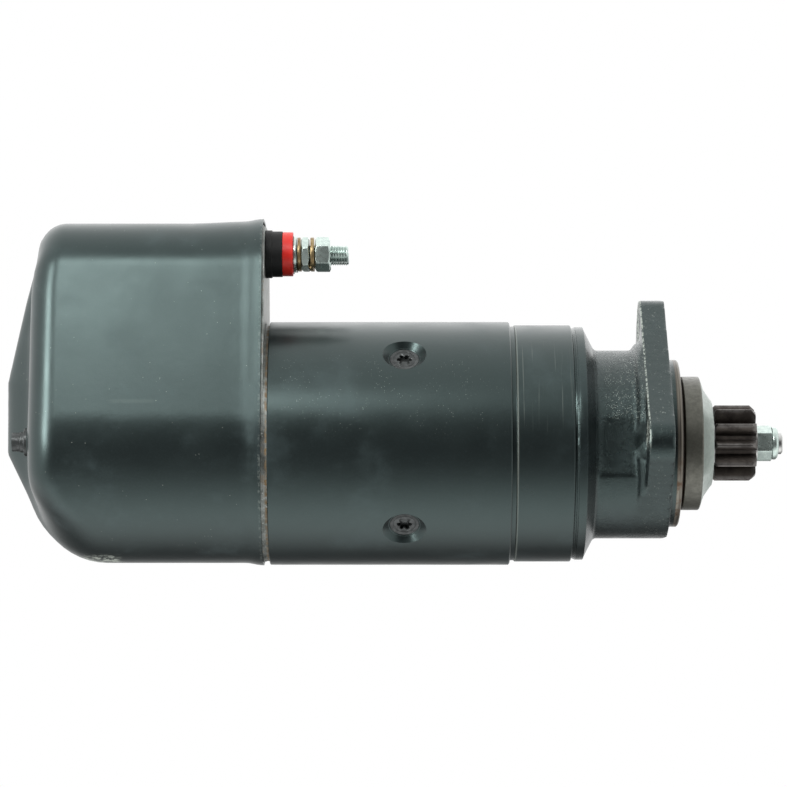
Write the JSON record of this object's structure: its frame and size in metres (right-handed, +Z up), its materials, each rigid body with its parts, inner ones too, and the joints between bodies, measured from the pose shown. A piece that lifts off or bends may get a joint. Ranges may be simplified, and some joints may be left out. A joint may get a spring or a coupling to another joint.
{
  "type": "starter motor",
  "caption": "Heavy-duty sliding-gear starter motor with a coaxial solenoid, control relay, multi-plate clutch, toothed pinion, pilot flange and stud terminals.",
  "frame": {"origin": "centre of the pilot spigot, in the plane of the flange's mating face", "axes": "+X out along the shaft through the pinion, +Z up towards the main terminals, -Y the side with terminal 30"},
  "size_m": [0.426, 0.1434, 0.1901],
  "materials": {
    "cover_paint": "semi-gloss dark grey-black enamel with small scuffs",
    "housing_paint": "semi-gloss dark grey-black enamel",
    "cast_paint": "semi-gloss enamel over sand-cast iron",
    "zinc_shield": "bare cast edge, stained with rust at the seam",
    "zinc_fastener": "bright zinc plate",
    "black_screw": "painted over with the housing",
    "yellow_zinc": "yellow passivated spring steel",
    "black_moulding": "moulded phenolic, slight sheen",
    "red_moulding": "smooth red moulding",
    "phosphate": "grey phosphated, fine turning marks",
    "light_ring": "light grey machined ring",
    "pinion_steel": "dark case-hardened steel with bright tooth edges",
    "shaft_steel": "ground steel, oiled",
    "soft_iron": "plain machined soft iron",
    "copper": "bare copper",
    "varnished_copper": "varnished winding copper",
    "bronze": "sintered bronze",
    "lamination": "stacked sheet steel",
    "carbon": "metal-graphite",
    "spring_steel": "drawn spring wire",
    "seal_rubber": "nitrile rubber",
    "tape": "varnished cotton tape round the coils"
  },
  "bodies": {
    "root": {"end_cover": "cover_paint", "cover_screws": "black_screw", "cover_washers": "black_screw", "cover_seal": "seal_rubber", "end_shield": "zinc_shield", "yoke": "housing_paint", "pole_shoes": "soft_iron", "field_coils": "tape", "pole_screws": "black_screw", "through_bolts": "zinc_fastener", "intermediate_housing": "housing_paint", "drive_end_housing": "cast_paint", "seal_housing": "phosphate", "nose_ring": "light_ring", "front_bearing": "bronze", "front_seal": "seal_rubber", "armature_bushes": "bronze", "brush_plate": "soft_iron", "brush_holders": "yellow_zinc", "brush_springs": "spring_steel", "solenoid_frame": "soft_iron", "solenoid_coil": "varnished_copper", "solenoid_pole_piece": "soft_iron", "return_spring": "spring_steel", "relay_frame": "soft_iron", "relay_coil": "varnished_copper", "relay_spring": "spring_steel", "contact_block": "black_moulding", "motor_lead": "copper", "terminal_studs": "zinc_fastener", "terminal_insulator": "black_moulding", "insulator_ring": "red_moulding", "terminal_31_spacer": "zinc_fastener", "terminal_washers": "zinc_fastener", "terminal_spring_washers": "yellow_zinc", "terminal_thin_nuts": "zinc_fastener", "terminal_nuts": "zinc_fastener", "terminal_50_insulator": "black_moulding", "terminal_50_stud": "zinc_fastener", "terminal_50_nut": "zinc_fastener"},
    "armature": {"armature_shaft": "shaft_steel", "armature_core": "lamination", "armature_windings": "varnished_copper", "commutator": "copper", "clutch_drum": "shaft_steel", "clutch_outer_plates": "spring_steel"},
    "clutch_hub": {"clutch_hub": "shaft_steel", "clutch_inner_plates": "bronze"},
    "engaging_rod": {"solenoid_plunger": "shaft_steel", "engaging_rod": "shaft_steel"},
    "pinion": {"pinion_shaft": "shaft_steel", "pinion": "pinion_steel", "pinion_nut": "zinc_fastener"},
    "relay_armature": {"relay_armature": "shaft_steel", "contact_bridge": "copper"},
    "brush_1": {"brush_1": "carbon"},
    "brush_2": {"brush_2": "carbon"},
    "brush_3": {"brush_3": "carbon"},
    "brush_4": {"brush_4": "carbon"},
    "trip_lever": {"trip_lever": "zinc_fastener"}
  },
  "joints": [
    {"name": "armature_spin", "type": "hinge", "parent": "root", "child": "armature", "pos_m": [-0.15, 0, 0], "axis": [1, 0, 0], "continuous": true},
    {"name": "clutch_hub_spin", "type": "hinge", "parent": "root", "child": "clutch_hub", "pos_m": [-0.04, 0, 0], "axis": [1, 0, 0], "continuous": true},
    {"name": "engagement_slide", "type": "slide", "parent": "root", "child": "engaging_rod", "axis": [1, 0, 0], "range_m": [0, 0.02], "stiffness_N_per_m": 1500, "springref_m": -0.02, "deforming": ["return_spring"]},
    {"name": "pinion_spin", "type": "hinge", "parent": "engaging_rod", "child": "pinion", "pos_m": [0.03, 0, 0], "axis": [1, 0, 0], "continuous": true},
    {"name": "trip_lever_hinge", "type": "hinge", "parent": "root", "child": "trip_lever", "pos_m": [-0.296, 0.0065, 0.074], "axis": [0, -1, 0], "range_deg": [0, 11.46]},
    {"name": "relay_slide", "type": "slide", "parent": "root", "child": "relay_armature", "axis": [1, 0, 0], "range_m": [0, 0.003], "stiffness_N_per_m": 2000, "springref_m": -0.003, "deforming": ["relay_spring"]},
    {"name": "brush_1_lift", "type": "slide", "parent": "root", "child": "brush_1", "axis": [0, 0.7071, 0.7071], "range_m": [0, 0.007], "stiffness_N_per_m": 1500, "springref_m": -0.004, "deforming": ["brush_springs"]},
    {"name": "brush_2_lift", "type": "slide", "parent": "root", "child": "brush_2", "axis": [0, -0.7071, 0.7071], "range_m": [0, 0.007], "stiffness_N_per_m": 1500, "springref_m": -0.004, "deforming": ["brush_springs"]},
    {"name": "brush_3_lift", "type": "slide", "parent": "root", "child": "brush_3", "axis": [0, -0.7071, -0.7071], "range_m": [0, 0.007], "stiffness_N_per_m": 1500, "springref_m": -0.004, "deforming": ["brush_springs"]},
    {"name": "brush_4_lift", "type": "slide", "parent": "root", "child": "brush_4", "axis": [0, 0.7071, -0.7071], "range_m": [0, 0.007], "stiffness_N_per_m": 1500, "springref_m": -0.004, "deforming": ["brush_springs"]}
  ],
  "couplings": [
    {"joint": "clutch_hub_spin", "follows": "armature_spin", "ratio": 1},
    {"joint": "pinion_spin", "follows": "armature_spin", "ratio": 1},
    {"joint": "trip_lever_hinge", "follows": "engagement_slide", "rad_per_m": 10}
  ]
}
